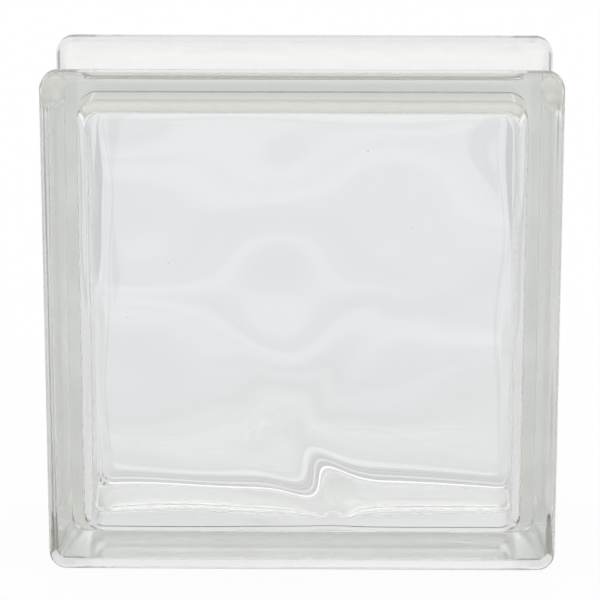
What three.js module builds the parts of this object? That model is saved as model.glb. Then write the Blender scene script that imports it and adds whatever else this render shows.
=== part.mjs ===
import * as THREE from 'three';

// A hollow glass block: two pressed half shells, fused rim to rim at mid depth.
// Sizes are in millimetres. X runs across the block, Z up, and Y from the front face to the
// rear face. The origin is the middle of the underside.

// Driving dimensions: the block outside.
const BLOCK_WIDTH = 190;
const BLOCK_HEIGHT = 190;
const BLOCK_DEPTH = 80;
const CORNER_RADIUS = 6.5;
const FACE_EDGE_RADIUS = 3.2;

// The lip round each face, and the mortar channel between the two lips. The channel's floor
// falls away from the lip to the seam, and its corners grow rounder on the way.
const LIP_WIDTH = 8.5;
const LIP_BACK_RADIUS = 1.2;
const CHANNEL_DEPTH = 3.3;
const CHANNEL_FILLET_RADIUS = 1.5;
const SEAM_CHANNEL_DEPTH = 7;
const SEAM_CORNER_RADIUS = 6;

// The glass itself, and the sealed cavity inside it. The wall is measured beside the lip.
const PANE_THICKNESS = 7.8;
const WALL_THICKNESS = 9.1;
const WALL_DRAFT_DEGREES = 1;
const WALL_CORNER_RADIUS = 7;
const PANE_CORNER_RADIUS = 3.5;

// From the pane into the wall, the cavity's edge eases off, turns sharply, and then sweeps into
// the wall on a long radius. The turns are measured from the pane.
const PANE_MARGIN = 6.8;
const EASE_RADIUS = 20;
const EASE_TURN_DEGREES = 8;
const EDGE_RADIUS = 1.2;
const EDGE_TURN_DEGREES = 48;

// The bead that swells on both sides of each wall where the halves are fused.
const SEAM_BEAD_HALF_WIDTH = 2.5;
const SEAM_BEAD_HEIGHT = 0.5;

// Broad folds pressed into the inside of each pane. A fold runs at an angle to X and waves
// from side to side as it goes.
const FOLDS = [
  { runDegrees: -28, spacing: 52, height: 0.4, shift: 10.8, sway: 5, swayLength: 150 },
  { runDegrees: 31, spacing: 78, height: 0.34, shift: 11.4, sway: 7, swayLength: 120 },
  { runDegrees: 82, spacing: 96, height: 0.55, shift: 25.8, sway: 6, swayLength: 170 },
];

// One steep crest among the folds, placed from the middle of the pane. It runs far up the pane
// and ends short near its lower edge.
const CREST_X = 11.6;
const CREST_Z = -70.2;
const CREST_RUN_DEGREES = -56;
const CREST_HEIGHT = 2.2;
const CREST_WIDTH = 8.8;
const CREST_UPPER_REACH = 56;
const CREST_LOWER_REACH = 8;

// Fineness of the facets.
const OUTER_CORNER_STEPS = 3;
const CAVITY_CORNER_STEPS = 2;
const PANE_SIDE_STEPS = 32;
const FACE_EDGE_STEPS = 4;
const SMALL_ARC_STEPS = 2;
const BEAD_STEPS = 3;
const WALL_SWEEP_STEPS = 4;

// Sizes that follow from the driving dimensions. An inset is measured inwards from the
// block's outline, and a depth from the outer face of the half.
const HALF_DEPTH = BLOCK_DEPTH / 2;
const WALL_INSET = CHANNEL_DEPTH + WALL_THICKNESS;
const LIP_CORNER_RADIUS = CORNER_RADIUS - CHANNEL_DEPTH;
const CHANNEL_FALL_DEGREES = THREE.MathUtils.radToDeg(Math.atan2(
  SEAM_CHANNEL_DEPTH - CHANNEL_DEPTH,
  HALF_DEPTH - SEAM_BEAD_HALF_WIDTH - LIP_WIDTH - CHANNEL_FILLET_RADIUS));

const radians = THREE.MathUtils.degToRad;

// Distances across and along a line through a point of the pane, running at an angle to X.
function lineCoordinates(x, z, runDegrees) {
  const run = radians(runDegrees);
  return {
    across: z * Math.cos(run) - x * Math.sin(run),
    along: x * Math.cos(run) + z * Math.sin(run),
  };
}

function foldRise(x, z, fold) {
  const { across, along } = lineCoordinates(x, z, fold.runDegrees);
  const sway = fold.sway * Math.sin(2 * Math.PI * along / fold.swayLength);
  return fold.height * Math.sin(2 * Math.PI * (across + fold.shift + sway) / fold.spacing);
}

// The crest falls away like a bell on both sides of its line and towards its two ends.
function crestRise(x, z) {
  const { across, along } = lineCoordinates(x - CREST_X, z - CREST_Z, CREST_RUN_DEGREES);
  const reach = along < 0 ? CREST_UPPER_REACH : CREST_LOWER_REACH;
  return CREST_HEIGHT * Math.exp(-((across / CREST_WIDTH) ** 2) - (along / reach) ** 2);
}

// How far the inside of the pane stands above its mean thickness.
function paneRise(x, z) {
  const folds = FOLDS.reduce((sum, fold) => sum + foldRise(x, z, fold), 0);
  return folds + crestRise(x, z);
}

// A round stretch of the section, as insets and depths between two angles in degrees. Angle 0
// points to the outline and angle 90 to the seam.
function sectionArc(centre, radius, fromDegrees, toDegrees, steps) {
  return Array.from({ length: steps + 1 }, (_, step) => {
    const angle = radians(THREE.MathUtils.lerp(fromDegrees, toDegrees, step / steps));
    return {
      inset: centre.inset - radius * Math.cos(angle),
      depth: centre.depth + radius * Math.sin(angle),
    };
  });
}

// A rounded rectangle set in from the block's outline, counter-clockwise as seen from the
// front, and starting in the middle of the lower left corner.
function outline(inset, radius, cornerSteps, sideSteps) {
  const halfWidth = BLOCK_WIDTH / 2 - inset - radius;
  const halfHeight = BLOCK_HEIGHT / 2 - inset - radius;
  const corners = [[-1, -1], [1, -1], [1, 1], [-1, 1]].map(
    ([across, up]) => new THREE.Vector2(across * halfWidth, up * halfHeight));
  const onCorner = (corner, degrees) => new THREE.Vector2(radius, 0)
    .rotateAround(new THREE.Vector2(), radians(degrees))
    .add(corner);
  const points = [];
  corners.forEach((corner, side) => {
    const next = corners[(side + 1) % corners.length];
    const sideAngle = 270 + 90 * side;
    for (let step = 0; step < cornerSteps; step += 1) {
      points.push(onCorner(corner, sideAngle - 45 + 45 * step / cornerSteps));
    }
    const start = onCorner(corner, sideAngle);
    const end = onCorner(next, sideAngle);
    for (let step = 0; step < sideSteps; step += 1) {
      points.push(start.clone().lerp(end, step / sideSteps));
    }
    for (let step = 0; step < cornerSteps; step += 1) {
      points.push(onCorner(next, sideAngle + 45 * step / cornerSteps));
    }
  });
  return points;
}

// The section from the rim of the outer face, over the lip and along the channel, to the
// crest of the bead on the seam.
function outerSection() {
  const faceEdge = { inset: FACE_EDGE_RADIUS, depth: FACE_EDGE_RADIUS };
  const lipBack = { inset: LIP_BACK_RADIUS, depth: LIP_WIDTH - LIP_BACK_RADIUS };
  const channelFillet = {
    inset: CHANNEL_DEPTH - CHANNEL_FILLET_RADIUS,
    depth: LIP_WIDTH + CHANNEL_FILLET_RADIUS,
  };
  return [
    ...sectionArc(faceEdge, FACE_EDGE_RADIUS, -90, 0, FACE_EDGE_STEPS),
    ...sectionArc(lipBack, LIP_BACK_RADIUS, 0, 90, SMALL_ARC_STEPS),
    ...sectionArc(
      channelFillet, CHANNEL_FILLET_RADIUS, 270, 180 + CHANNEL_FALL_DEGREES, SMALL_ARC_STEPS),
    ...beadSection(SEAM_CHANNEL_DEPTH, -1),
  ];
}

// One flank of the seam bead, rising from a wall surface to its crest in the seam plane.
// Its direction is -1 towards the outside of the block and 1 towards the cavity.
function beadSection(wallInset, direction) {
  const width = SEAM_BEAD_HALF_WIDTH;
  const radius = (width ** 2 + SEAM_BEAD_HEIGHT ** 2) / (2 * SEAM_BEAD_HEIGHT);
  const centreInset = wallInset + direction * (SEAM_BEAD_HEIGHT - radius);
  return Array.from({ length: BEAD_STEPS + 1 }, (_, step) => {
    const beforeSeam = width * (1 - step / BEAD_STEPS);
    return {
      inset: centreInset + direction * Math.sqrt(radius ** 2 - beforeSeam ** 2),
      depth: HALF_DEPTH - beforeSeam,
    };
  });
}

// The centre of an arc that passes through a point, turned by an angle from the pane there.
function towardsCentre(point, turnDegrees, distance) {
  return {
    inset: point.inset + distance * Math.sin(radians(turnDegrees)),
    depth: point.depth + distance * Math.cos(radians(turnDegrees)),
  };
}

// The cavity's edge, from the flat of the pane to the foot of the wall: three arcs, each
// starting in the direction in which the one before it ends.
function cavityEdgeSection() {
  const paneEnd = { inset: WALL_INSET + PANE_MARGIN, depth: PANE_THICKNESS };
  const easeCentre = towardsCentre(paneEnd, 0, EASE_RADIUS);
  const ease = sectionArc(easeCentre, EASE_RADIUS, -90, EASE_TURN_DEGREES - 90, SMALL_ARC_STEPS);
  const edgeCentre = towardsCentre(ease.at(-1), EASE_TURN_DEGREES, EDGE_RADIUS);
  const edge = sectionArc(
    edgeCentre, EDGE_RADIUS, EASE_TURN_DEGREES - 90, EDGE_TURN_DEGREES - 90, SMALL_ARC_STEPS);
  const sweepRadius = (edge.at(-1).inset - WALL_INSET)
    / (1 - Math.sin(radians(EDGE_TURN_DEGREES)));
  const sweepCentre = towardsCentre(edge.at(-1), EDGE_TURN_DEGREES, sweepRadius);
  const sweep = sectionArc(sweepCentre, sweepRadius, EDGE_TURN_DEGREES - 90, 0, WALL_SWEEP_STEPS);
  return [...ease, ...edge.slice(1), ...sweep.slice(1)];
}

// The inner wall leans outwards from its foot to the seam.
function seamWallInset(footDepth) {
  return WALL_INSET - (HALF_DEPTH - footDepth) * Math.tan(radians(WALL_DRAFT_DEGREES));
}

// The outer corners tighten down to the channel's edge and widen again towards the seam.
function outerRadius(inset) {
  if (inset < CHANNEL_DEPTH) return CORNER_RADIUS - inset;
  const share = (inset - CHANNEL_DEPTH) / (SEAM_CHANNEL_DEPTH - CHANNEL_DEPTH);
  return THREE.MathUtils.lerp(LIP_CORNER_RADIUS, SEAM_CORNER_RADIUS, share);
}

// The cavity's corners tighten from the wall to the pane.
function cavityRadius(inset) {
  const share = (inset - WALL_INSET) / PANE_MARGIN;
  return THREE.MathUtils.lerp(WALL_CORNER_RADIUS, PANE_CORNER_RADIUS, share);
}

// A closed shell under construction: its points, and its triangles facing out.
class Shell {
  constructor() {
    this.points = [];
    this.triangles = [];
  }

  // Adds a point of the half, whose outer face looks along -Y.
  addPoint(x, z, depth) {
    this.points.push(new THREE.Vector3(x, depth - HALF_DEPTH, z + BLOCK_HEIGHT / 2));
    return this.points.length - 1;
  }

  addRing(flatPoints, depthOf) {
    return flatPoints.map((point, index) => this.addPoint(point.x, point.y, depthOf(index)));
  }

  // Joins two rings by the shorter diagonal at each step, so that they may differ in count.
  joinRings(first, second) {
    const distance = (a, b) => this.points[a].distanceTo(this.points[b]);
    let i = 0;
    let j = 0;
    while (i < first.length || j < second.length) {
      const a = first[i % first.length];
      const b = second[j % second.length];
      const nextA = first[(i + 1) % first.length];
      const nextB = second[(j + 1) % second.length];
      const secondDone = j === second.length;
      const firstLeft = i < first.length;
      if (secondDone || (firstLeft && distance(nextA, b) <= distance(a, nextB))) {
        this.triangles.push(a, b, nextA);
        i += 1;
      } else {
        this.triangles.push(a, b, nextB);
        j += 1;
      }
    }
  }

  // Closes the outer face with a flat sheet.
  closeFace(flatPoints, ring) {
    THREE.ShapeUtils.triangulateShape(flatPoints, []).forEach(([a, b, c]) => {
      this.triangles.push(ring[a], ring[b], ring[c]);
    });
  }

  // Closes the inside with a Coons patch, spread between the four sides of the pane's edge
  // and raised by the folds.
  closePane(flatPoints, ring) {
    const steps = ring.length / 4;
    const edgeIndex = (column, row) => {
      if (row === 0) return column;
      if (column === steps) return steps + row;
      if (row === steps) return 3 * steps - column;
      return (4 * steps - row) % ring.length;
    };
    const edge = (column, row) => flatPoints[edgeIndex(column, row)];
    const patchPoint = (column, row) => {
      const u = column / steps;
      const v = row / steps;
      const upright = edge(column, 0).clone().lerp(edge(column, steps), v);
      const level = edge(0, row).clone().lerp(edge(steps, row), u);
      const low = edge(0, 0).clone().lerp(edge(steps, 0), u);
      const high = edge(0, steps).clone().lerp(edge(steps, steps), u);
      return upright.add(level).sub(low.lerp(high, v));
    };
    const vertex = (column, row) => {
      const inside = column > 0 && column < steps && row > 0 && row < steps;
      if (!inside) return ring[edgeIndex(column, row)];
      const { x, y: z } = patchPoint(column, row);
      return this.addPoint(x, z, PANE_THICKNESS + paneRise(x, z));
    };
    const grid = Array.from({ length: steps + 1 }, (_, row) => Array.from(
      { length: steps + 1 }, (__, column) => vertex(column, row)));
    for (let row = 0; row < steps; row += 1) {
      for (let column = 0; column < steps; column += 1) {
        const [a, b] = [grid[row][column], grid[row][column + 1]];
        const [c, d] = [grid[row + 1][column], grid[row + 1][column + 1]];
        this.triangles.push(a, c, b, b, c, d);
      }
    }
  }

  toGeometry() {
    const geometry = new THREE.BufferGeometry().setFromPoints(this.points);
    geometry.setIndex(this.triangles);
    geometry.computeVertexNormals();
    return geometry;
  }
}

// One pressed half: a pane with its lip and walls, open towards the seam.
function halfShellGeometry() {
  const shell = new Shell();
  const outerOutline = ({ inset }) => outline(inset, outerRadius(inset), OUTER_CORNER_STEPS, 1);
  const cavityOutline = ({ inset }) => outline(inset, cavityRadius(inset), OUTER_CORNER_STEPS, 1);

  const outside = outerSection();
  const outerRings = outside.map(
    (station) => shell.addRing(outerOutline(station), () => station.depth));
  shell.closeFace(outerOutline(outside[0]), outerRings[0]);

  // The cavity's edge rises and falls with the folds where they meet it.
  const edge = cavityEdgeSection().reverse();
  const edgeOutlines = edge.map(({ inset }) => outline(
    inset, cavityRadius(inset), CAVITY_CORNER_STEPS, PANE_SIDE_STEPS));
  const paneOutline = edgeOutlines.at(-1);
  const edgeRise = paneOutline.map(({ x, y: z }) => paneRise(x, z));
  const edgeRings = edge.map(({ depth }, step) => shell.addRing(
    edgeOutlines[step], (index) => depth + edgeRise[index]));

  const seamToWall = beadSection(seamWallInset(edge[0].depth), 1).reverse();
  const wallRings = seamToWall.map(
    (station) => shell.addRing(cavityOutline(station), () => station.depth));

  const rings = [...outerRings, ...wallRings, ...edgeRings];
  for (let step = 1; step < rings.length; step += 1) {
    shell.joinRings(rings[step - 1], rings[step]);
  }
  shell.closePane(paneOutline, edgeRings.at(-1));
  return shell.toGeometry();
}

function glassMaterial() {
  return new THREE.MeshStandardMaterial({ color: 0xdde2dc, roughness: 0.05, metalness: 0 });
}

// Both halves come from one mould. The rear one is turned about the vertical, so that the
// folds of the two panes cross.
const frontHalf = new THREE.Mesh(halfShellGeometry(), glassMaterial());
frontHalf.name = 'front_half';

const rearHalf = new THREE.Mesh(halfShellGeometry(), glassMaterial());
rearHalf.name = 'rear_half';
rearHalf.rotation.z = Math.PI;

const glassBlock = new THREE.Group();
glassBlock.add(frontHalf, rearHalf);

export default glassBlock;
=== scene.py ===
"""A hollow block of clear pressed glass, dressed for the render.

The two CAD halves are shown as one fused body of glass: a closed outer surface, a closed
cavity with softly folded panes inside it, and a few seeds (small bubbles) in the glass. The
mortar channel is slightly dull. It wears a thin white film on top and a trace of it elsewhere,
which is a finish on the same surface. Sizes and places are in millimetres.
"""

import math

import bpy
import numpy as np
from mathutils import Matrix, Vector


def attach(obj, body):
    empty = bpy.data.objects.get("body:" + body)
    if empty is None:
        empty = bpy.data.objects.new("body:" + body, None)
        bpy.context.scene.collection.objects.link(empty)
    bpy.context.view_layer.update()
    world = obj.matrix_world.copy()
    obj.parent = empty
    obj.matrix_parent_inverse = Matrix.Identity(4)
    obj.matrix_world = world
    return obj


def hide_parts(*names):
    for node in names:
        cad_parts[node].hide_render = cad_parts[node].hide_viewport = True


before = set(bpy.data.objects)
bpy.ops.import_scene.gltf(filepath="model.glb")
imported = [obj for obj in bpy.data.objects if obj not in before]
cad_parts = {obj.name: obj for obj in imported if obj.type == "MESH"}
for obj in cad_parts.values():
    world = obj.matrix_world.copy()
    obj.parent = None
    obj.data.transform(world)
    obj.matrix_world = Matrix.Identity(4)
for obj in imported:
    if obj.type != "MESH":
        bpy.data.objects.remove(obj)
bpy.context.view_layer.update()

MM = 0.001

# ---------------------------------------------------------------- sizes of the block
BLOCK_WIDTH = 190.0
BLOCK_HEIGHT = 190.0
BLOCK_DEPTH = 80.0
CORNER_RADIUS = 6.5
FACE_EDGE_RADIUS = 3.2
LIP_WIDTH = 8.5
LIP_BACK_RADIUS = 1.2
CHANNEL_DEPTH = 3.3
CHANNEL_FILLET_RADIUS = 1.5
SEAM_CHANNEL_DEPTH = 7.0
SEAM_CORNER_RADIUS = 6.0
PANE_THICKNESS = 7.8
WALL_THICKNESS = 9.1
WALL_DRAFT = math.radians(1)
WALL_CORNER_RADIUS = 7.0
PANE_CORNER_RADIUS = 3.5
PANE_MARGIN = 6.8
EASE_RADIUS = 20.0
EASE_TURN = 8.0
EDGE_RADIUS = 1.2
EDGE_TURN = 48.0
SEAM_BEAD_HALF_WIDTH = 2.5
SEAM_BEAD_HEIGHT = 0.5

HALF_DEPTH = BLOCK_DEPTH / 2
WALL_INSET = CHANNEL_DEPTH + WALL_THICKNESS
LIP_CORNER_RADIUS = CORNER_RADIUS - CHANNEL_DEPTH
CHANNEL_FALL = math.degrees(math.atan2(
    SEAM_CHANNEL_DEPTH - CHANNEL_DEPTH,
    HALF_DEPTH - SEAM_BEAD_HALF_WIDTH - LIP_WIDTH - CHANNEL_FILLET_RADIUS))
SUPPORT = 0.25  # width of the narrow strips that keep flat faces flat beside a rounding
SLOPE_STATIONS = (0.02, 0.5, 1.0)  # where the channel's slope has rings, as shares of it

# Folds pressed into the inside of each pane, as in the CAD halves.
FOLDS = [
    dict(run=-28, spacing=52, height=0.4, shift=10.8, sway=5, sway_length=150),
    dict(run=31, spacing=78, height=0.34, shift=11.4, sway=7, sway_length=120),
    dict(run=82, spacing=96, height=0.55, shift=25.8, sway=6, sway_length=170),
]
CREST_PLACE = (11.6, -70.2)
CREST_RUN = -56
CREST_HEIGHT = 2.2
CREST_WIDTH = 8.8
CREST_UPPER_REACH = 56.0
CREST_LOWER_REACH = 8.0

# Seeds: place across and up from the block's middle, depth from the front face, radius.
SEEDS = [
    (-49.0, 23.5, 4.6, 0.32),
    (24.0, 66.0, 3.4, 0.28),
    (40.0, 37.0, 5.2, 0.26),
    (-70.0, -18.0, 74.5, 0.3),
    (5.0, -40.0, 76.0, 0.22),
]

# Fineness of the visual mesh.
OUTER_CORNER_STEPS = 8
OUTER_SIDE_STEPS = 16
CAVITY_CORNER_STEPS = 5
CAVITY_SIDE_STEPS = 130
ROUND_STEPS = 8
SWEEP_STEPS = 12

# ---------------------------------------------------------------- glass and film
WHITE = (1.0, 1.0, 1.0)
GLASS_IOR = 1.52
GLASS_TINT = (0.605, 0.625, 0.525)
GLASS_DENSITY = 7.4  # per metre
RIPPLE_SCALE = 45.0  # per metre, as all scales of noise here
RIPPLE_DETAIL = 1.0
RIPPLE_HEIGHT = 0.007

# In a pair of places, a change starts at the first and ends at the second.
CHANNEL_ROUGHNESS = 0.12
BOTTOM_CORNER_ROUGHNESS = 0.25
BOTTOM_CORNER_ACROSS = (BLOCK_WIDTH / 2 - 16, BLOCK_WIDTH / 2 - 12)
BOTTOM_CORNER_UP = (10.0, 14.0)

FILM_COLOR = (1.0, 1.0, 0.985)
FILM_COLOR_THROUGH = (0.995, 1.0, 0.93)
FILM_COVER_ELSEWHERE = 0.06
FILM_COVER_TOP = 0.95
FILM_TOP = (BLOCK_HEIGHT - 16, BLOCK_HEIGHT - 9)
FILM_THROUGH_FRONT = 0.55  # the film's share of light through it, on the front half
FILM_THROUGH_REAR = 0.2
FILM_FRONT_TO_REAR = (-6.0, 6.0)
FILM_UNEVENNESS = 0.03
FILM_GRAIN_SCALE = 90.0
FILM_GRAIN_DETAIL = 4.0
NOISE_MIDDLE = (0.3, 0.7)  # most of a noise lies between these levels

# ---------------------------------------------------------------- floor
FLOOR_HALF_SIZE = 4000.0
FLOOR_COLOR = (0.9, 0.9, 0.9)
FLOOR_ROUGHNESS = 0.9
FLOOR_WHITE_SHARE = 0.93  # plain white in what the camera sees; the rest is the lit floor

# The floor's tones for rays that come off the glass or through it. They lie still on the floor,
# stand in for the shadows and glints of a studio, and are tuned to the photo's view.
TONE_NEAR = (0.795, 0.80, 0.812)
TONE_FAR = (0.832, 0.842, 0.864)
TONE_NEAR_TO_FAR = (90.0, 300.0)
TONE_IN_FRONT = dict(low=-3500, high=-600, at_low=1.2, at_high=1.0)
TONE_BEHIND = dict(low=1000, high=1080, at_low=1.0, at_high=1.04)
BAND_BEHIND = dict(low=880, high=970, fade=40, height=-0.02)

# Bands on both sides, by the distance from the middle, at half strength beside the block and
# in front of it, and at full strength behind.
SIDE_BANDS = [
    dict(low=230, high=330, fade=20, height=-0.05),
    dict(low=400, high=560, fade=15, height=-0.24),
]
SIDE_BAND_STRENGTH = dict(low=200, high=400, at_low=0.5, at_high=1)

# A pair of bands that start under the block's sides and part from each other behind it.
PARTING_BAND = dict(low=84, high=92, fade=4, height=-0.07)
PARTING_DRIFT = 0.0127
PARTING_SPREAD = 0.0756

# Strips across, under the block and close behind it: from, to and fade in depth, and the share
# of the tone that they leave. A share below 1 is painted shadow, darkest under the front lip,
# and a share above 1 is a painted glint.
STRIP_END = (BLOCK_WIDTH / 2 - 10.5, BLOCK_WIDTH / 2 - 7.5)
SHADOW_AND_GLINT_STRIPS = [
    (-38.0, -28.7, 0.6, 0.02),
    (-27.5, -13.0, 2.0, 1.08),
    (-10.0, 20.0, 3.0, 0.93),
    (38.7, 40.1, 0.6, 1.6),
    (40.8, 41.6, 0.4, 0.82),
    (42.2, 43.2, 0.4, 1.12),
    (44.0, 48.5, 0.6, 0.84),
    (46.0, 46.6, 0.4, 1.12),
    (50.0, 62.0, 2.0, 0.92),
    (68.0, 82.0, 2.0, 1.10),
]

# Soft patches: their turn in degrees, and how fine they are along and across, per metre.
WIDE_CLOUD = dict(turn=-38, fineness=(3.0, 9.0))
WIDE_CLOUD_UNEVENNESS = 0.03
NEAR_CLOUD = dict(turn=-55, fineness=(6.0, 19.0))
NEAR_CLOUD_MIDDLE = 1.15
NEAR_CLOUD_STRENGTH = dict(low=350, high=500, at_low=0.028, at_high=0)

# ---------------------------------------------------------------- sky and room
# The level of the world's light on the film and the floor, at the horizon and overhead.
SKY_LOW = 1.0
SKY_HIGH = 1.1

# The room for rays that come off the glass or through it, by their direction: Y is how far it
# points to the rear, and Z, the sine of its elevation, how far up. Each level of the rear goes
# with a Z. A color stop holds no more than 1, so the levels are stored divided by LEVEL_SCALE.
ROOM_COLOR = (0.99, 1.0, 1.015)
ROOM_FRONT_LEVEL = 1.0
ROOM_FRONT_TO_REAR = (0.15, 0.3)
REAR_LEVELS = [
    (0.0, 0.78), (0.185, 0.78), (0.195, 1.06), (0.21, 1.06), (0.22, 0.78), (0.27, 0.87),
    (0.3, 1.08), (0.39, 1.22), (0.5, 1.30), (0.6, 1.20), (0.7, 0.92), (0.85, 0.84),
    (0.915, 0.84), (0.94, 0.70), (1.0, 0.66),
]
LEVEL_SCALE = 2.0
FRONT_BOX_UP = dict(low=0.6, high=0.75, fade=0.03)
FRONT_BOX_LEVEL = dict(low=-0.5, high=-0.4, at_low=1.4, at_high=0)

# ---------------------------------------------------------------- camera
# Its place and lens are fitted to the outlines of both lips in the photo.
CAMERA_PLACE = (15.0, -1130.4, 403.1)
CAMERA_TARGET = (-1.17, 0.0, 94.75)
CAMERA_LENS = 185.0
CAMERA_SENSOR = 36.0


# ---------------------------------------------------------------- pressed folds
def line_coordinates(x, z, run_degrees):
    """Distances across and along a line through a point of the pane."""
    run = math.radians(run_degrees)
    across = z * math.cos(run) - x * math.sin(run)
    along = x * math.cos(run) + z * math.sin(run)
    return across, along


def fold_rise(x, z, fold):
    across, along = line_coordinates(x, z, fold["run"])
    sway = fold["sway"] * np.sin(2 * np.pi * along / fold["sway_length"])
    return fold["height"] * np.sin(2 * np.pi * (across + fold["shift"] + sway) / fold["spacing"])


def crest_rise(x, z):
    across, along = line_coordinates(x - CREST_PLACE[0], z - CREST_PLACE[1], CREST_RUN)
    reach = np.where(along < 0, CREST_UPPER_REACH, CREST_LOWER_REACH)
    return CREST_HEIGHT * np.exp(-((across / CREST_WIDTH) ** 2) - (along / reach) ** 2)


def pane_rise(x, z):
    """How far the inside of a pane stands above its mean thickness, seen from its own front."""
    return sum(fold_rise(x, z, fold) for fold in FOLDS) + crest_rise(x, z)


# ---------------------------------------------------------------- section and outline
def arc(inset, depth, radius, start_degrees, end_degrees, steps=ROUND_STEPS):
    """A round stretch of the section. Angle 0 points to the outline and 90 to the seam."""
    angles = np.radians(np.linspace(start_degrees, end_degrees, steps + 1))
    return [(inset - radius * math.cos(a), depth + radius * math.sin(a)) for a in angles]


def bead(wall_inset, direction):
    """One flank of the seam bead, from the wall to its crest in the seam plane."""
    width = SEAM_BEAD_HALF_WIDTH
    radius = (width ** 2 + SEAM_BEAD_HEIGHT ** 2) / (2 * SEAM_BEAD_HEIGHT)
    centre = wall_inset + direction * (SEAM_BEAD_HEIGHT - radius)
    flank = []
    for before_seam in np.linspace(width, 0, ROUND_STEPS + 1):
        reach = math.sqrt(radius ** 2 - before_seam ** 2)
        flank.append((centre + direction * reach, HALF_DEPTH - before_seam))
    return flank


def outer_half_section():
    """Returns the lip's stations and the channel's, from the face to the seam."""
    lip_back_depth = LIP_WIDTH - LIP_BACK_RADIUS
    fillet_depth = LIP_WIDTH + CHANNEL_FILLET_RADIUS
    slope_end = HALF_DEPTH - SEAM_BEAD_HALF_WIDTH - SUPPORT
    lip = [
        (FACE_EDGE_RADIUS + SUPPORT, 0.0),
        *arc(FACE_EDGE_RADIUS, FACE_EDGE_RADIUS, FACE_EDGE_RADIUS, -90, 0),
        (0.0, FACE_EDGE_RADIUS + SUPPORT),
        (0.0, lip_back_depth - SUPPORT),
        *arc(LIP_BACK_RADIUS, lip_back_depth, LIP_BACK_RADIUS, 0, 90),
    ]
    channel = arc(CHANNEL_DEPTH - CHANNEL_FILLET_RADIUS, fillet_depth,
                  CHANNEL_FILLET_RADIUS, 270, 180 + CHANNEL_FALL)
    foot_inset, foot_depth = channel[-1]
    for share in SLOPE_STATIONS:
        channel.append((foot_inset + (SEAM_CHANNEL_DEPTH - foot_inset) * share,
                        foot_depth + (slope_end - foot_depth) * share))
    return lip, channel + bead(SEAM_CHANNEL_DEPTH, -1)


def towards_centre(point, turn_degrees, distance):
    """The centre of an arc that passes through a point, turned from the pane there."""
    turn = math.radians(turn_degrees)
    return point[0] + distance * math.sin(turn), point[1] + distance * math.cos(turn)


def cavity_half_section():
    """The edge, from the flat of the pane to the foot of the wall, and the wall to the seam."""
    pane_end = (WALL_INSET + PANE_MARGIN, PANE_THICKNESS)
    ease = arc(*towards_centre(pane_end, 0, EASE_RADIUS), EASE_RADIUS, -90, EASE_TURN - 90)
    edge = arc(*towards_centre(ease[-1], EASE_TURN, EDGE_RADIUS), EDGE_RADIUS,
               EASE_TURN - 90, EDGE_TURN - 90)
    sweep_radius = (edge[-1][0] - WALL_INSET) / (1 - math.sin(math.radians(EDGE_TURN)))
    sweep = arc(*towards_centre(edge[-1], EDGE_TURN, sweep_radius), sweep_radius,
                EDGE_TURN - 90, 0, SWEEP_STEPS)
    foot_depth = sweep[-1][1]
    foot = (WALL_INSET - SUPPORT * math.tan(WALL_DRAFT), foot_depth + SUPPORT)
    seam_inset = WALL_INSET - (HALF_DEPTH - foot_depth) * math.tan(WALL_DRAFT)
    wall = [(seam_inset, HALF_DEPTH - SEAM_BEAD_HALF_WIDTH - SUPPORT), *bead(seam_inset, 1)]
    return ease + edge[1:] + sweep[1:] + [foot], wall


def outline(inset, radius, corner_steps, side_steps):
    """A rounded rectangle, counter-clockwise from the front, from mid lower left corner."""
    half_width = BLOCK_WIDTH / 2 - inset - radius
    half_height = BLOCK_HEIGHT / 2 - inset - radius
    corners = [(-half_width, -half_height), (half_width, -half_height),
               (half_width, half_height), (-half_width, half_height)]
    points = []

    def on_corner(corner, degrees):
        angle = math.radians(degrees)
        return (corner[0] + radius * math.cos(angle), corner[1] + radius * math.sin(angle))

    for side, corner in enumerate(corners):
        following = corners[(side + 1) % 4]
        side_angle = 270 + 90 * side
        for step in range(corner_steps):
            points.append(on_corner(corner, side_angle - 45 + 45 * step / corner_steps))
        start = np.array(on_corner(corner, side_angle))
        end = np.array(on_corner(following, side_angle))
        for step in range(side_steps):
            points.append(tuple(start + (end - start) * step / side_steps))
        for step in range(corner_steps):
            points.append(on_corner(following, side_angle + 45 * step / corner_steps))
    return np.array(points)


def outer_outline(inset):
    """The corners tighten down to the channel's edge and widen again towards the seam."""
    radius = CORNER_RADIUS - inset
    if inset > CHANNEL_DEPTH:
        share = (inset - CHANNEL_DEPTH) / (SEAM_CHANNEL_DEPTH - CHANNEL_DEPTH)
        radius = LIP_CORNER_RADIUS + (SEAM_CORNER_RADIUS - LIP_CORNER_RADIUS) * share
    return outline(inset, radius, OUTER_CORNER_STEPS, OUTER_SIDE_STEPS)


def cavity_outline(inset):
    """The corners tighten from the wall to the pane."""
    share = (inset - WALL_INSET) / PANE_MARGIN
    radius = WALL_CORNER_RADIUS + (PANE_CORNER_RADIUS - WALL_CORNER_RADIUS) * share
    return outline(inset, radius, CAVITY_CORNER_STEPS, CAVITY_SIDE_STEPS)


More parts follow.
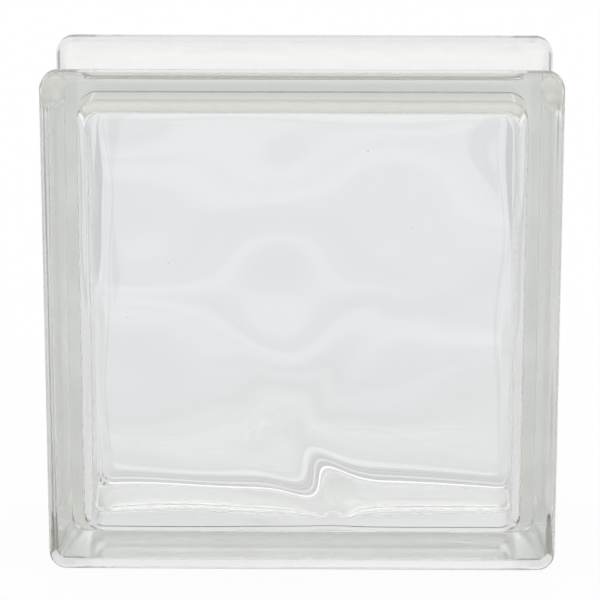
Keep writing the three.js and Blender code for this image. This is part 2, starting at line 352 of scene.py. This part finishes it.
# ---------------------------------------------------------------- mesh building
class Surface:
    """Vertices in millimetres, in the frame's axes, and faces turned out of the glass."""

    def __init__(self):
        self.vertices = []
        self.faces = []
        self.in_channel = []
        self.count = 0

    def add(self, points):
        start = self.count
        self.vertices.append(points)
        self.count += len(points)
        return np.arange(start, self.count)

    def add_ring(self, flat, y):
        y = np.broadcast_to(y, len(flat))
        return self.add(np.column_stack([flat[:, 0], y, flat[:, 1] + BLOCK_HEIGHT / 2]))

    def add_faces(self, faces, flip=False, in_channel=False):
        faces = faces[:, ::-1] if flip else faces
        self.faces += faces.tolist()
        self.in_channel += [float(in_channel)] * len(faces)

    def join(self, rings, flip=False, channel=()):
        for place, (first, second) in enumerate(zip(rings, rings[1:])):
            quads = np.column_stack([first, second, np.roll(second, -1), np.roll(first, -1)])
            self.add_faces(quads, flip, place in channel)

    def patch(self, flat, ring, y_at, flip=False):
        """Closes a ring with a Coons patch at the depths that y_at gives."""
        n = len(ring) // 4
        side = np.arange(n + 1)
        low, right = flat[side], flat[n + side]
        high, left = flat[3 * n - side], flat[(4 * n - side) % (4 * n)]
        u = (side / n)[:, None, None]
        v = (side / n)[None, :, None]
        grid = (1 - v) * low[:, None] + v * high[:, None] + (1 - u) * left[None] + u * right[None]
        grid -= (1 - u) * (1 - v) * low[0] + u * (1 - v) * low[n]
        grid -= (1 - u) * v * high[0] + u * v * high[n]
        index = np.empty((n + 1, n + 1), int)
        index[:, 0], index[n, :] = ring[side], ring[n + side]
        index[:, n], index[0, :] = ring[3 * n - side], ring[(4 * n - side) % (4 * n)]
        inner = grid[1:n, 1:n].reshape(-1, 2)
        index[1:n, 1:n] = self.add_ring(inner, y_at(inner[:, 0], inner[:, 1])).reshape(n - 1, n - 1)
        quads = np.stack([index[:-1, :-1], index[1:, :-1], index[1:, 1:], index[:-1, 1:]], axis=-1)
        self.add_faces(quads.reshape(-1, 4), flip)

    def to_object(self, name):
        mesh = bpy.data.meshes.new(name)
        mesh.from_pydata((np.vstack(self.vertices) * MM).tolist(), [], self.faces)
        mesh.shade_smooth()
        channel = mesh.attributes.new("channel", "FLOAT", "FACE")
        channel.data.foreach_set("value", np.array(self.in_channel, np.float32))
        piece = bpy.data.objects.new(name, mesh)
        bpy.context.scene.collection.objects.link(piece)
        return piece


def add_outside(surface):
    lip, channel = outer_half_section()
    half = lip + channel
    front = [(inset, depth - HALF_DEPTH) for inset, depth in half]
    rear = [(inset, HALF_DEPTH - depth) for inset, depth in reversed(half[:-1])]
    stations = front + rear
    rings = [surface.add_ring(outer_outline(inset), y) for inset, y in stations]
    surface.join(rings, channel=range(len(lip), len(stations) - 1 - len(lip)))
    face = outer_outline(stations[0][0])
    surface.patch(face, rings[0], lambda x, z: np.full(len(x), -HALF_DEPTH))
    surface.patch(face, rings[-1], lambda x, z: np.full(len(x), HALF_DEPTH), flip=True)


def add_cavity(surface):
    edge, wall = cavity_half_section()
    rim = cavity_outline(edge[0][0])
    front_rise = pane_rise(rim[:, 0], rim[:, 1])
    rear_rise = pane_rise(-rim[:, 0], rim[:, 1])
    rings = []
    for inset, depth in edge:
        rings.append(surface.add_ring(cavity_outline(inset), depth + front_rise - HALF_DEPTH))
    for inset, depth in wall:
        rings.append(surface.add_ring(cavity_outline(inset), depth - HALF_DEPTH))
    for inset, depth in reversed(wall[:-1]):
        rings.append(surface.add_ring(cavity_outline(inset), HALF_DEPTH - depth))
    for inset, depth in reversed(edge):
        rings.append(surface.add_ring(cavity_outline(inset), HALF_DEPTH - depth - rear_rise))
    surface.join(rings, flip=True)
    surface.patch(rim, rings[0],
                  lambda x, z: PANE_THICKNESS + pane_rise(x, z) - HALF_DEPTH, flip=True)
    surface.patch(rim, rings[-1],
                  lambda x, z: HALF_DEPTH - PANE_THICKNESS - pane_rise(-x, z))


def add_seed(surface, x, z, depth, radius, rows=8, columns=12):
    """A small bubble in the glass, its faces turned into the bubble."""
    latitudes = np.pi * np.arange(1, rows) / rows
    longitudes = 2 * np.pi * np.arange(columns) / columns
    rings = []
    for latitude in latitudes:
        flat = np.column_stack([x + radius * math.sin(latitude) * np.cos(longitudes),
                                z + radius * math.sin(latitude) * np.sin(longitudes)])
        rings.append(surface.add_ring(flat, depth - HALF_DEPTH - radius * math.cos(latitude)))
    surface.join(rings, flip=True)
    ends = surface.add(np.array([[x, depth - HALF_DEPTH - radius, z + BLOCK_HEIGHT / 2],
                                 [x, depth - HALF_DEPTH + radius, z + BLOCK_HEIGHT / 2]]))
    for end, ring, flip in ((ends[0], rings[0], True), (ends[1], rings[-1], False)):
        fan = np.column_stack([np.full(columns, end), ring, np.roll(ring, -1)])
        surface.add_faces(fan, flip)


# ---------------------------------------------------------------- shader nodes
def add_ramp(tree, source, low, high, at_low, at_high):
    """A smooth step from one level to another, while the source goes from low to high."""
    node = tree.nodes.new("ShaderNodeMapRange")
    node.interpolation_type = "SMOOTHSTEP"
    node.inputs["From Min"].default_value = low
    node.inputs["From Max"].default_value = high
    node.inputs["To Min"].default_value = at_low
    node.inputs["To Max"].default_value = at_high
    tree.links.new(source, node.inputs["Value"])
    return node.outputs["Result"]


def add_math(tree, operation, *terms):
    """A math node whose terms are sockets or plain numbers."""
    node = tree.nodes.new("ShaderNodeMath")
    node.operation = operation
    for term, socket in zip(terms, node.inputs):
        if isinstance(term, (int, float)):
            socket.default_value = term
        else:
            tree.links.new(term, socket)
    return node.outputs["Value"]


def add_product(tree, first, *others):
    for other in others:
        first = add_math(tree, "MULTIPLY", first, other)
    return first


def add_sum(tree, first, *others):
    for other in others:
        first = add_math(tree, "ADD", first, other)
    return first


def add_band(tree, source, low, high, fade, height=1.0):
    """A height where the source lies between low and high, and 0 away from there."""
    return add_product(tree, add_ramp(tree, source, low - fade, low, 0, height),
                       add_ramp(tree, source, high, high + fade, 1, 0))


def add_parts(tree, vector):
    """The X, Y and Z of a vector."""
    parts = tree.nodes.new("ShaderNodeSeparateXYZ")
    tree.links.new(vector, parts.inputs[0])
    return parts.outputs["X"], parts.outputs["Y"], parts.outputs["Z"]


def add_place(tree, position):
    """The X, Y and Z of a position, in millimetres."""
    return [add_product(tree, part, 1 / MM) for part in add_parts(tree, position)]


def add_noise(tree, position, scale, detail):
    noise = tree.nodes.new("ShaderNodeTexNoise")
    noise.inputs["Scale"].default_value = scale
    noise.inputs["Detail"].default_value = detail
    tree.links.new(position, noise.inputs["Vector"])
    return noise.outputs["Fac"]


def add_shader(tree, kind, color):
    node = tree.nodes.new(kind)
    node.inputs["Color"].default_value = (*color, 1)
    return node


def add_shader_mix(tree, factor, first, second):
    node = tree.nodes.new("ShaderNodeMixShader")
    tree.links.new(factor, node.inputs["Fac"])
    tree.links.new(first, node.inputs[1])
    tree.links.new(second, node.inputs[2])
    return node.outputs["Shader"]


def add_color_mix(tree, factor, first, second):
    node = tree.nodes.new("ShaderNodeMix")
    node.data_type = "RGBA"
    node.inputs["A"].default_value = (*first, 1)
    node.inputs["B"].default_value = (*second, 1)
    tree.links.new(factor, node.inputs["Factor"])
    return node.outputs["Result"]


def add_glass_rays(tree, path):
    """1 for the rays that come off the glass or through it."""
    return add_math(tree, "MAXIMUM", path.outputs["Is Glossy Ray"],
                    path.outputs["Is Transmission Ray"])


# ---------------------------------------------------------------- the glass block
def add_ripple(tree, position):
    """The faint unevenness that pressing leaves on a glass surface."""
    bump = tree.nodes.new("ShaderNodeBump")
    bump.inputs["Distance"].default_value = RIPPLE_HEIGHT * MM
    tree.links.new(add_noise(tree, position, RIPPLE_SCALE, RIPPLE_DETAIL),
                   bump.inputs["Height"])
    return bump.outputs["Normal"]


def add_dullness(tree, x, z, in_channel):
    """The channel is slightly dull, and more so at the block's two bottom corners."""
    at_corner = add_product(
        tree, add_ramp(tree, add_math(tree, "ABSOLUTE", x), *BOTTOM_CORNER_ACROSS, 0, 1),
        add_ramp(tree, z, *BOTTOM_CORNER_UP, 1, 0))
    dullness = add_ramp(tree, at_corner, 0, 1, CHANNEL_ROUGHNESS, BOTTOM_CORNER_ROUGHNESS)
    return add_product(tree, in_channel, dullness)


def add_film(tree, position, y, z, in_channel):
    """The white film: returns how much of the glass it covers, and its shader."""
    grain = add_ramp(tree, add_noise(tree, position, FILM_GRAIN_SCALE, FILM_GRAIN_DETAIL),
                     *NOISE_MIDDLE, 1 - FILM_UNEVENNESS, 1 + FILM_UNEVENNESS)
    cover = add_ramp(tree, z, *FILM_TOP, FILM_COVER_ELSEWHERE, FILM_COVER_TOP)
    on_top = add_shader(tree, "ShaderNodeBsdfDiffuse", FILM_COLOR)
    through = add_shader(tree, "ShaderNodeBsdfTranslucent", FILM_COLOR_THROUGH)
    share = add_ramp(tree, y, *FILM_FRONT_TO_REAR, FILM_THROUGH_FRONT, FILM_THROUGH_REAR)
    film = add_shader_mix(tree, share, on_top.outputs[0], through.outputs[0])
    return add_product(tree, cover, grain, in_channel), film


def glass_material():
    material = bpy.data.materials.new("clear_pressed_glass")
    material.use_nodes = True
    tree = material.node_tree
    output = tree.nodes["Material Output"]
    position = tree.nodes.new("ShaderNodeTexCoord").outputs["Object"]
    x, y, z = add_place(tree, position)
    channel = tree.nodes.new("ShaderNodeAttribute")
    channel.attribute_name = "channel"
    in_channel = channel.outputs["Fac"]

    glass = tree.nodes["Principled BSDF"]
    glass.inputs["Base Color"].default_value = (*WHITE, 1)
    glass.inputs["IOR"].default_value = GLASS_IOR
    glass.inputs["Transmission Weight"].default_value = 1.0
    tree.links.new(add_dullness(tree, x, z, in_channel), glass.inputs["Roughness"])
    tree.links.new(add_ripple(tree, position), glass.inputs["Normal"])
    cover, film = add_film(tree, position, y, z, in_channel)
    tree.links.new(add_shader_mix(tree, cover, glass.outputs["BSDF"], film),
                   output.inputs["Surface"])

    absorption = add_shader(tree, "ShaderNodeVolumeAbsorption", GLASS_TINT)
    absorption.inputs["Density"].default_value = GLASS_DENSITY
    tree.links.new(absorption.outputs["Volume"], output.inputs["Volume"])
    return material


def make_block():
    surface = Surface()
    add_outside(surface)
    add_cavity(surface)
    for seed in SEEDS:
        add_seed(surface, *seed)
    block = surface.to_object("glass_block")
    block.data.materials.append(glass_material())
    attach(block, "root")
    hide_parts("front_half", "rear_half")


# ---------------------------------------------------------------- the floor
def add_cloud(tree, position, turn, fineness):
    turned = tree.nodes.new("ShaderNodeMapping")
    turned.inputs["Rotation"].default_value = (0, 0, math.radians(turn))
    turned.inputs["Scale"].default_value = (*fineness, 1)
    tree.links.new(position, turned.inputs["Vector"])
    return add_noise(tree, turned.outputs["Vector"], scale=1, detail=1)


def add_side_share(tree, x, y, away):
    """What the bands on both sides and the parting pair leave of the tone."""
    bands = add_sum(tree, *(add_band(tree, away, **band) for band in SIDE_BANDS))
    bands = add_product(tree, bands, add_ramp(tree, y, **SIDE_BAND_STRENGTH))
    from_middle = add_math(tree, "ABSOLUTE", add_sum(tree, x, add_product(tree, y, PARTING_DRIFT)))
    parting = add_sum(tree, from_middle, add_product(tree, y, -PARTING_SPREAD))
    return add_sum(tree, 1, bands, add_band(tree, parting, **PARTING_BAND))


def add_cloud_share(tree, position, y):
    """What the wide clouds and the ones near the block leave of the tone."""
    wide = add_ramp(tree, add_cloud(tree, position, **WIDE_CLOUD), *NOISE_MIDDLE,
                    1 - WIDE_CLOUD_UNEVENNESS, 1 + WIDE_CLOUD_UNEVENNESS)
    near = add_ramp(tree, add_cloud(tree, position, **NEAR_CLOUD), *NOISE_MIDDLE, 0, 2)
    near = add_sum(tree, near, -NEAR_CLOUD_MIDDLE)
    near = add_product(tree, near, add_ramp(tree, y, **NEAR_CLOUD_STRENGTH))
    return add_product(tree, wide, add_sum(tree, near, 1))


def add_strip_share(tree, y, away):
    """What all the strips together leave of the tone."""
    in_width = add_ramp(tree, away, *STRIP_END, 1, 0)
    shares = []
    for low, high, fade, share in SHADOW_AND_GLINT_STRIPS:
        in_strip = add_product(tree, add_band(tree, y, low, high, fade), in_width)
        shares.append(add_ramp(tree, in_strip, 0, 1, 1, share))
    return add_product(tree, *shares)


def add_floor_tone(tree):
    """The floor for rays that come off the glass or through it, with its painted shadows and
    glints.
    """
    position = tree.nodes.new("ShaderNodeNewGeometry").outputs["Position"]
    x, y, _ = add_place(tree, position)
    away = add_math(tree, "ABSOLUTE", x)
    behind = add_sum(tree, add_ramp(tree, y, **TONE_BEHIND), add_band(tree, y, **BAND_BEHIND))
    strength = add_product(
        tree, behind, add_side_share(tree, x, y, away), add_ramp(tree, y, **TONE_IN_FRONT),
        add_cloud_share(tree, position, y), add_strip_share(tree, y, away))
    color = add_color_mix(tree, add_ramp(tree, y, *TONE_NEAR_TO_FAR, 0, 1), TONE_NEAR, TONE_FAR)
    tone = tree.nodes.new("ShaderNodeEmission")
    tree.links.new(color, tone.inputs["Color"])
    tree.links.new(strength, tone.inputs["Strength"])
    return tone.outputs[0]


def floor_material():
    material = bpy.data.materials.new("white_floor")
    material.use_nodes = True
    tree = material.node_tree
    paper = tree.nodes["Principled BSDF"]
    paper.inputs["Base Color"].default_value = (*FLOOR_COLOR, 1)
    paper.inputs["Roughness"].default_value = FLOOR_ROUGHNESS
    path = tree.nodes.new("ShaderNodeLightPath")
    lit = add_shader_mix(tree, add_glass_rays(tree, path), paper.outputs["BSDF"],
                         add_floor_tone(tree))
    white = add_shader(tree, "ShaderNodeEmission", WHITE)
    white_share = add_product(tree, path.outputs["Is Camera Ray"], FLOOR_WHITE_SHARE)
    tree.links.new(add_shader_mix(tree, white_share, lit, white.outputs[0]),
                   tree.nodes["Material Output"].inputs["Surface"])
    return material


def make_floor():
    reach = FLOOR_HALF_SIZE * MM
    corners = [(-reach, -reach, 0), (reach, -reach, 0), (reach, reach, 0), (-reach, reach, 0)]
    mesh = bpy.data.meshes.new("floor")
    mesh.from_pydata(corners, [], [(0, 1, 2, 3)])
    mesh.materials.append(floor_material())
    floor = bpy.data.objects.new("floor", mesh)
    bpy.context.scene.collection.objects.link(floor)


# ---------------------------------------------------------------- the world
def add_rear_level(tree, z):
    curve = tree.nodes.new("ShaderNodeValToRGB")
    stops = curve.color_ramp.elements
    while len(stops) < len(REAR_LEVELS):
        stops.new(1.0)
    for stop, (sine, level) in zip(stops, REAR_LEVELS):
        stop.position = sine
        stop.color = (*[level / LEVEL_SCALE] * 3, 1)
    tree.links.new(z, curve.inputs["Fac"])
    return add_product(tree, curve.outputs["Color"], LEVEL_SCALE)


def add_room_level(tree, y, z):
    """The rear's level and the front's, and a bright box high in front."""
    rear = add_product(tree, add_ramp(tree, y, *ROOM_FRONT_TO_REAR, 0, 1),
                       add_rear_level(tree, z))
    front = add_ramp(tree, y, *ROOM_FRONT_TO_REAR, ROOM_FRONT_LEVEL, 0)
    front_box = add_product(tree, add_band(tree, z, **FRONT_BOX_UP),
                            add_ramp(tree, y, **FRONT_BOX_LEVEL))
    return add_sum(tree, rear, front, front_box)


def make_world():
    """The camera sees plain white, the glass sees the room, and the sky lights the rest."""
    world = bpy.data.worlds.new("studio")
    bpy.context.scene.world = world
    world.use_nodes = True
    tree = world.node_tree
    tree.nodes.clear()
    _, y, z = add_parts(tree, tree.nodes.new("ShaderNodeTexCoord").outputs["Generated"])

    sky = add_shader(tree, "ShaderNodeBackground", WHITE)
    tree.links.new(add_ramp(tree, z, 0, 1, SKY_LOW, SKY_HIGH), sky.inputs["Strength"])
    room = add_shader(tree, "ShaderNodeBackground", ROOM_COLOR)
    tree.links.new(add_room_level(tree, y, z), room.inputs["Strength"])

    path = tree.nodes.new("ShaderNodeLightPath")
    lit = add_shader_mix(tree, add_glass_rays(tree, path), sky.outputs[0], room.outputs[0])
    white = add_shader(tree, "ShaderNodeBackground", WHITE)
    output = tree.nodes.new("ShaderNodeOutputWorld")
    tree.links.new(add_shader_mix(tree, path.outputs["Is Camera Ray"], lit, white.outputs[0]),
                   output.inputs["Surface"])


# ---------------------------------------------------------------- camera and render
def make_camera():
    data = bpy.data.cameras.new("camera")
    data.lens = CAMERA_LENS
    data.sensor_width = CAMERA_SENSOR
    camera = bpy.data.objects.new("camera", data)
    bpy.context.scene.collection.objects.link(camera)
    place = Vector(CAMERA_PLACE) * MM
    target = Vector(CAMERA_TARGET) * MM
    camera.location = place
    camera.rotation_euler = (target - place).to_track_quat("-Z", "Y").to_euler()
    bpy.context.scene.camera = camera


def set_light_paths():
    """Light crosses the block by many inner reflections, so it's followed further."""
    cycles = bpy.context.scene.cycles
    cycles.max_bounces = 40
    cycles.diffuse_bounces = 12
    cycles.glossy_bounces = 24
    cycles.transmission_bounces = 40


make_block()
make_floor()
make_world()
make_camera()
set_light_paths()
bpy.context.scene.view_settings.view_transform = "Standard"
